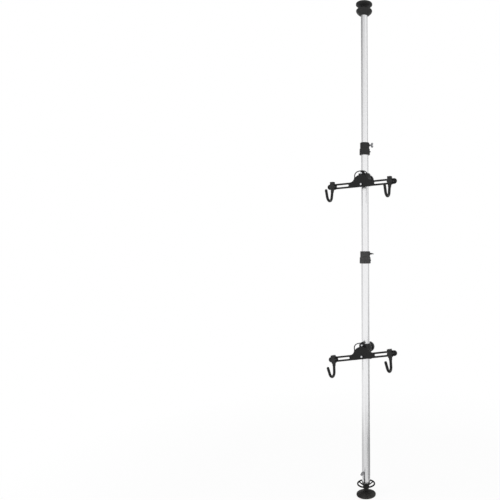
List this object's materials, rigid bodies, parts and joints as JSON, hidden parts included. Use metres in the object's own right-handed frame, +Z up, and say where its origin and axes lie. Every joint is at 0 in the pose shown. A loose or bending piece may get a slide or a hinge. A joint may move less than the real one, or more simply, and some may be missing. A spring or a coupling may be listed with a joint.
{
  "type": "bike rack",
  "caption": "Floor-to-ceiling telescopic pole rack with jack foot and swivelling, tilting cradles whose coated hooks each carry a bicycle by its frame.",
  "frame": {"origin": "centre of the rubber foot's flat underside, on the floor", "axes": "+Z up the pole, -Y towards the hooks, +X along the cradle arms to the right as seen from the front"},
  "size_m": [0.4078, 0.2106, 2.7],
  "materials": {
    "tube_metal": "satin anodised",
    "arm_coat": "satin powder coat",
    "black_plastic": "fine moulded texture",
    "black_rubber": "matte",
    "hook_vinyl": "soft satin dip coat",
    "cast_metal": "dark casting enamel",
    "bright_steel": "zinc plated",
    "bush_plastic": "plain moulded"
  },
  "bodies": {
    "foot": {"foot_pad": "black_rubber", "foot_socket": "arm_coat"},
    "jack": {"spindle": "bright_steel", "handwheel": "black_plastic"},
    "lower_pole": {"spindle_nut": "black_plastic", "lever_pin": "bright_steel", "lower_tube": "tube_metal", "lower_collar": "black_plastic", "lower_collar_bush": "bush_plastic"},
    "lever": {"lock_lever": "bright_steel"},
    "lower_wing_screw": {"lower_collar_screw": "bright_steel"},
    "middle_pole": {"middle_tube": "tube_metal", "middle_tube_guide": "bush_plastic", "upper_collar": "black_plastic", "upper_collar_bush": "bush_plastic"},
    "upper_wing_screw": {"upper_collar_screw": "bright_steel"},
    "top_pole": {"top_tube": "tube_metal", "top_tube_guide": "bush_plastic", "head_cap": "black_plastic", "ceiling_pad": "black_rubber"},
    "upper_carriage": {"upper_cradle_sleeve": "bush_plastic"},
    "upper_clamp": {"upper_cradle_clamp": "cast_metal", "upper_cradle_pivot_bolt": "bright_steel", "upper_cradle_pivot_nut": "bright_steel", "upper_cradle_stop_pin": "bright_steel"},
    "upper_clamp_knob": {"upper_cradle_clamp_screw": "bright_steel", "upper_cradle_clamp_washer": "bright_steel", "upper_cradle_clamp_knob": "black_plastic"},
    "upper_arm": {"upper_cradle_arm": "arm_coat"},
    "upper_left_hook": {"upper_cradle_left_block": "black_plastic", "upper_cradle_left_hook": "bright_steel", "upper_cradle_left_coating": "hook_vinyl", "upper_cradle_left_stud": "bright_steel"},
    "upper_left_knob": {"upper_cradle_left_knob": "black_plastic"},
    "upper_right_hook": {"upper_cradle_right_block": "black_plastic", "upper_cradle_right_hook": "bright_steel", "upper_cradle_right_coating": "hook_vinyl", "upper_cradle_right_stud": "bright_steel"},
    "upper_right_knob": {"upper_cradle_right_knob": "black_plastic"},
    "lower_carriage": {"lower_cradle_sleeve": "bush_plastic"},
    "lower_clamp": {"lower_cradle_clamp": "cast_metal", "lower_cradle_pivot_bolt": "bright_steel", "lower_cradle_pivot_nut": "bright_steel", "lower_cradle_stop_pin": "bright_steel"},
    "lower_clamp_knob": {"lower_cradle_clamp_screw": "bright_steel", "lower_cradle_clamp_washer": "bright_steel", "lower_cradle_clamp_knob": "black_plastic"},
    "lower_arm": {"lower_cradle_arm": "arm_coat"},
    "lower_left_hook": {"lower_cradle_left_block": "black_plastic", "lower_cradle_left_hook": "bright_steel", "lower_cradle_left_coating": "hook_vinyl", "lower_cradle_left_stud": "bright_steel"},
    "lower_left_knob": {"lower_cradle_left_knob": "black_plastic"},
    "lower_right_hook": {"lower_cradle_right_block": "black_plastic", "lower_cradle_right_hook": "bright_steel", "lower_cradle_right_coating": "hook_vinyl", "lower_cradle_right_stud": "bright_steel"},
    "lower_right_knob": {"lower_cradle_right_knob": "black_plastic"}
  },
  "joints": [
    {"name": "wheel_turn", "type": "hinge", "parent": "foot", "child": "jack", "pos_m": [0, 0, 0.06], "axis": [0, 0, 1], "range_deg": [-1440, 0]},
    {"name": "jack_lift", "type": "slide", "parent": "foot", "child": "lower_pole", "axis": [0, 0, 1], "range_m": [0, 0.01601]},
    {"name": "lever_swing", "type": "hinge", "parent": "lower_pole", "child": "lever", "pos_m": [0, -0.015, 0.082], "axis": [1, 0, 0], "range_deg": [0, 60]},
    {"name": "lower_wing_screw_turn", "type": "hinge", "parent": "lower_pole", "child": "lower_wing_screw", "pos_m": [0.035, 0, 1.3255], "axis": [1, 0, 0], "range_deg": [-720, 180]},
    {"name": "middle_slide", "type": "slide", "parent": "lower_pole", "child": "middle_pole", "axis": [0, 0, 1], "range_m": [-0.15, 0.4]},
    {"name": "upper_wing_screw_turn", "type": "hinge", "parent": "middle_pole", "child": "upper_wing_screw", "pos_m": [0.03289, 0.01197, 1.9215], "axis": [0.9397, 0.342, 0], "range_deg": [-720, 180]},
    {"name": "top_slide", "type": "slide", "parent": "middle_pole", "child": "top_pole", "axis": [0, 0, 1], "range_m": [-0.66, 0.3]},
    {"name": "upper_cradle_slide", "type": "slide", "parent": "middle_pole", "child": "upper_carriage", "axis": [0, 0, 1], "range_m": [-0.14, 0.08]},
    {"name": "upper_cradle_turn", "type": "hinge", "parent": "upper_carriage", "child": "upper_clamp", "pos_m": [0, 0, 1.7375], "axis": [0, 0, 1], "continuous": true},
    {"name": "upper_clamp_knob_turn", "type": "hinge", "parent": "upper_clamp", "child": "upper_clamp_knob", "pos_m": [0, 0.05485, 1.7375], "axis": [0, 1, 0], "range_deg": [-360, 90]},
    {"name": "upper_arm_tilt", "type": "hinge", "parent": "upper_clamp", "child": "upper_arm", "pos_m": [0, -0.0495, 1.702], "axis": [0, -1, 0], "range_deg": [-28, 24]},
    {"name": "upper_left_hook_slide", "type": "slide", "parent": "upper_arm", "child": "upper_left_hook", "axis": [-0.9994, 0, -0.0349], "range_m": [-0.08, 0.008]},
    {"name": "upper_left_knob_turn", "type": "hinge", "parent": "upper_left_hook", "child": "upper_left_knob", "pos_m": [-0.1679, -0.0402, 1.69614], "axis": [0, 1, 0], "range_deg": [-360, 90]},
    {"name": "upper_right_hook_slide", "type": "slide", "parent": "upper_arm", "child": "upper_right_hook", "axis": [0.9994, 0, 0.0349], "range_m": [-0.08, 0.008]},
    {"name": "upper_right_knob_turn", "type": "hinge", "parent": "upper_right_hook", "child": "upper_right_knob", "pos_m": [0.1679, -0.0402, 1.70786], "axis": [0, 1, 0], "range_deg": [-360, 90]},
    {"name": "lower_cradle_slide", "type": "slide", "parent": "lower_pole", "child": "lower_carriage", "axis": [0, 0, 1], "range_m": [-0.4, 0.3]},
    {"name": "lower_cradle_turn", "type": "hinge", "parent": "lower_carriage", "child": "lower_clamp", "pos_m": [0, 0, 0.8055], "axis": [0, 0, 1], "continuous": true},
    {"name": "lower_clamp_knob_turn", "type": "hinge", "parent": "lower_clamp", "child": "lower_clamp_knob", "pos_m": [0, 0.05485, 0.8055], "axis": [0, 1, 0], "range_deg": [-360, 90]},
    {"name": "lower_arm_tilt", "type": "hinge", "parent": "lower_clamp", "child": "lower_arm", "pos_m": [0, -0.0495, 0.77], "axis": [0, -1, 0], "range_deg": [-36, 16]},
    {"name": "lower_left_hook_slide", "type": "slide", "parent": "lower_arm", "child": "lower_left_hook", "axis": [-0.9848, 0, -0.1736], "range_m": [-0.08, 0.008]},
    {"name": "lower_left_knob_turn", "type": "hinge", "parent": "lower_left_hook", "child": "lower_left_knob", "pos_m": [-0.16545, -0.0402, 0.74083], "axis": [0, 1, 0], "range_deg": [-360, 90]},
    {"name": "lower_right_hook_slide", "type": "slide", "parent": "lower_arm", "child": "lower_right_hook", "axis": [0.9848, 0, 0.1736], "range_m": [-0.08, 0.008]},
    {"name": "lower_right_knob_turn", "type": "hinge", "parent": "lower_right_hook", "child": "lower_right_knob", "pos_m": [0.16545, -0.0402, 0.79917], "axis": [0, 1, 0], "range_deg": [-360, 90]}
  ],
  "couplings": [
    {"joint": "jack_lift", "follows": "wheel_turn", "m_per_rad": -0.00063662}
  ]
}
